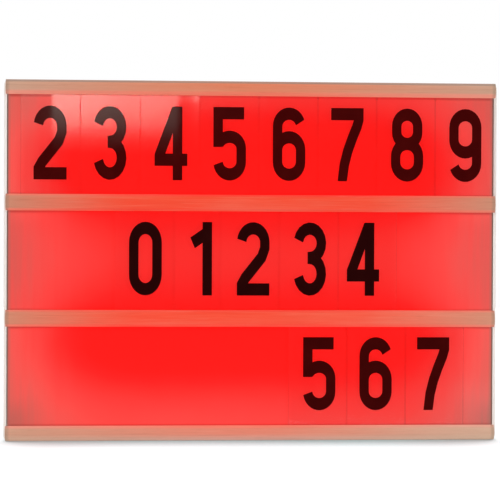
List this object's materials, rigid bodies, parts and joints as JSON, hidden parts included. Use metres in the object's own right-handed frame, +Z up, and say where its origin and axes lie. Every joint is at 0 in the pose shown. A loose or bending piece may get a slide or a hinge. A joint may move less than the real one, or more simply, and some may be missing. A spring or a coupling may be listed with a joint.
{
  "type": "cinema light box",
  "caption": "Shallow lit box with wood-look rails across a milky front, clear slide-in tiles, battery bay and controls at the back.",
  "frame": {"origin": "middle of the underside that the box stands on", "axes": "+Z up, +X to the right seen from the front, +Y towards the back; the lit front faces -Y"},
  "size_m": [0.303, 0.05, 0.22],
  "materials": {
    "case_white": "satin moulded, warm white",
    "lid_white": "satin moulded, warm white",
    "milky_panel": "translucent opal, lit red from behind",
    "wood_look": "wood-look, fine lengthwise grain, lets light through",
    "clear_tile": "clear, glossy",
    "control_black": "satin black",
    "board_green": "solder mask",
    "led_strip": "white solder mask",
    "cell_wrap": "shrink-wrapped can",
    "contact_steel": "nickel plated",
    "screw_steel": "zinc plated",
    "wire_red": "wire insulation",
    "wire_black": "wire insulation"
  },
  "bodies": {
    "root": {"case": "case_white", "back_cover": "case_white", "diffuser_panel": "milky_panel", "bottom_rail": "wood_look", "lower_middle_rail": "wood_look", "upper_middle_rail": "wood_look", "top_rail": "wood_look", "control_board": "board_green", "slide_switch": "control_black", "push_switch": "contact_steel", "power_socket": "contact_steel", "upper_led_strip": "led_strip", "lower_led_strip": "led_strip", "negative_lead": "wire_black", "positive_lead": "wire_red", "upper_led_lead": "wire_red", "lower_led_lead": "wire_black", "cell_1": "cell_wrap", "case_screw_1": "screw_steel", "cell_2": "cell_wrap", "case_screw_2": "screw_steel", "cell_3": "cell_wrap", "case_screw_3": "screw_steel", "cell_4": "cell_wrap", "case_screw_4": "screw_steel", "cell_5": "cell_wrap", "case_screw_5": "screw_steel", "cell_6": "cell_wrap", "case_screw_6": "screw_steel", "board_screw_1": "screw_steel", "lower_bridge_1": "contact_steel", "board_screw_2": "screw_steel", "lower_bridge_2": "contact_steel", "upper_bridge_1": "contact_steel", "upper_bridge_2": "contact_steel", "upper_bridge_3": "contact_steel", "negative_terminal": "contact_steel", "positive_terminal": "contact_steel"},
    "tile_top_1": {"tile_top_1": "clear_tile"},
    "tile_top_2": {"tile_top_2": "clear_tile"},
    "tile_top_3": {"tile_top_3": "clear_tile"},
    "tile_top_4": {"tile_top_4": "clear_tile"},
    "tile_top_5": {"tile_top_5": "clear_tile"},
    "tile_top_6": {"tile_top_6": "clear_tile"},
    "tile_top_7": {"tile_top_7": "clear_tile"},
    "tile_top_8": {"tile_top_8": "clear_tile"},
    "tile_middle_1": {"tile_middle_1": "clear_tile"},
    "tile_middle_2": {"tile_middle_2": "clear_tile"},
    "tile_middle_3": {"tile_middle_3": "clear_tile"},
    "tile_middle_4": {"tile_middle_4": "clear_tile"},
    "tile_middle_5": {"tile_middle_5": "clear_tile"},
    "tile_bottom_1": {"tile_bottom_1": "clear_tile"},
    "tile_bottom_2": {"tile_bottom_2": "clear_tile"},
    "tile_bottom_3": {"tile_bottom_3": "clear_tile"},
    "battery_cover": {"battery_cover": "lid_white"},
    "power_slider": {"power_slider": "control_black"},
    "mode_button": {"mode_button": "control_black"}
  },
  "joints": [
    {"name": "top_row_slide_1", "type": "slide", "parent": "root", "child": "tile_top_1", "axis": [1, 0, 0], "range_m": [-0.0085, 0.0005]},
    {"name": "top_row_slide_2", "type": "slide", "parent": "tile_top_1", "child": "tile_top_2", "axis": [1, 0, 0], "range_m": [0, 0.001]},
    {"name": "top_row_slide_3", "type": "slide", "parent": "tile_top_2", "child": "tile_top_3", "axis": [1, 0, 0], "range_m": [0, 0.001]},
    {"name": "top_row_slide_4", "type": "slide", "parent": "tile_top_3", "child": "tile_top_4", "axis": [1, 0, 0], "range_m": [0, 0.001]},
    {"name": "top_row_slide_5", "type": "slide", "parent": "tile_top_4", "child": "tile_top_5", "axis": [1, 0, 0], "range_m": [0, 0.001]},
    {"name": "top_row_slide_6", "type": "slide", "parent": "tile_top_5", "child": "tile_top_6", "axis": [1, 0, 0], "range_m": [0, 0.001]},
    {"name": "top_row_slide_7", "type": "slide", "parent": "tile_top_6", "child": "tile_top_7", "axis": [1, 0, 0], "range_m": [0, 0.001]},
    {"name": "top_row_slide_8", "type": "slide", "parent": "tile_top_7", "child": "tile_top_8", "axis": [1, 0, 0], "range_m": [0, 0.028]},
    {"name": "middle_row_slide_1", "type": "slide", "parent": "root", "child": "tile_middle_1", "axis": [1, 0, 0], "range_m": [-0.066, 0.06]},
    {"name": "middle_row_slide_2", "type": "slide", "parent": "tile_middle_1", "child": "tile_middle_2", "axis": [1, 0, 0], "range_m": [0, 0.002]},
    {"name": "middle_row_slide_3", "type": "slide", "parent": "tile_middle_2", "child": "tile_middle_3", "axis": [1, 0, 0], "range_m": [0, 0.002]},
    {"name": "middle_row_slide_4", "type": "slide", "parent": "tile_middle_3", "child": "tile_middle_4", "axis": [1, 0, 0], "range_m": [0, 0.002]},
    {"name": "middle_row_slide_5", "type": "slide", "parent": "tile_middle_4", "child": "tile_middle_5", "axis": [1, 0, 0], "range_m": [0, 0.028]},
    {"name": "bottom_row_slide_1", "type": "slide", "parent": "root", "child": "tile_bottom_1", "axis": [1, 0, 0], "range_m": [-0.172, 0.018]},
    {"name": "bottom_row_slide_2", "type": "slide", "parent": "tile_bottom_1", "child": "tile_bottom_2", "axis": [1, 0, 0], "range_m": [0, 0.004]},
    {"name": "bottom_row_slide_3", "type": "slide", "parent": "tile_bottom_2", "child": "tile_bottom_3", "axis": [1, 0, 0], "range_m": [0, 0.03]},
    {"name": "battery_cover_hinge", "type": "hinge", "parent": "root", "child": "battery_cover", "pos_m": [0, 0.025, 0.07645], "axis": [-1, 0, 0], "range_deg": [0, 70]},
    {"name": "power_slider_slide", "type": "slide", "parent": "root", "child": "power_slider", "axis": [1, 0, 0], "range_m": [-0.004, 0]},
    {"name": "mode_button_press", "type": "slide", "parent": "root", "child": "mode_button", "axis": [0, -1, 0], "range_m": [0, 0.0008], "stiffness_N_per_m": 500, "springref_m": -0.001}
  ]
}
